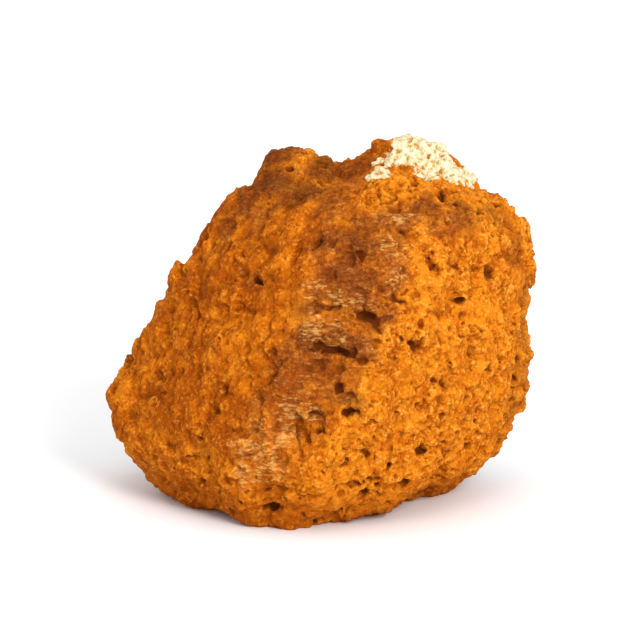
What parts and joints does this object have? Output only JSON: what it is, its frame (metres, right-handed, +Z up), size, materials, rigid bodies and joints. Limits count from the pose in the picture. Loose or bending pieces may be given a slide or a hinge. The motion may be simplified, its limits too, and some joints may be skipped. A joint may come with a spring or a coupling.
{
  "type": "chaga mushroom chunk",
  "caption": "Broken chunk of chaga, a hard birch fungus: rusty corky breaks with ledges and pits, black cracked crust behind, resting on a flat break.",
  "frame": {"origin": "on the surface that the chunk rests on, under the middle of its box", "axes": "+Z up; -Y towards the camera of the picture, which is the side with the sharpest ridge; +X to the camera's right; the black crust faces +Y"},
  "size_m": [0.06, 0.049, 0.051],
  "materials": {
    "chaga": "dry, matte, corky and crumbly"
  },
  "bodies": {
    "root": {"chaga_chunk": "chaga"}
  },
  "joints": []
}
